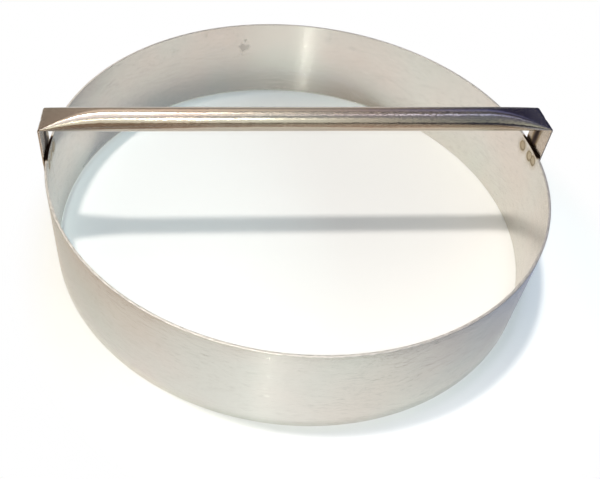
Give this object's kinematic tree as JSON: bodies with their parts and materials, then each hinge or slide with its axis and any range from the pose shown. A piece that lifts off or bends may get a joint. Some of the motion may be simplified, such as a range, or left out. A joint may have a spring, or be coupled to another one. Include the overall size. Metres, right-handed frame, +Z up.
{
  "type": "pizza base cutter",
  "caption": "Round dough cutter: a tall ring of rolled stainless strip with a plain cutting edge and a tube handle across the top, its ends pressed flat, folded down and spot welded outside.",
  "frame": {"origin": "centre of the ring at the plane of its lower cutting edge", "axes": "+Z up along the ring's axis, towards the handle; +X along the handle; +Y across it"},
  "size_m": [0.2524, 0.25, 0.0748],
  "materials": {
    "band_steel": "satin stainless strip with a fine grain along its length",
    "tube_steel": "stainless tube brushed along its length, brighter than the band",
    "weld_metal": "fused steel with a straw and brown heat tint"
  },
  "bodies": {
    "root": {"cutter_band": "band_steel", "band_seam_weld": "band_steel", "handle_tube": "tube_steel", "spot_weld_right_rear": "weld_metal", "spot_weld_right_middle": "weld_metal", "spot_weld_right_front": "weld_metal", "spot_weld_left_rear": "weld_metal", "spot_weld_left_middle": "weld_metal", "spot_weld_left_front": "weld_metal"}
  },
  "joints": []
}
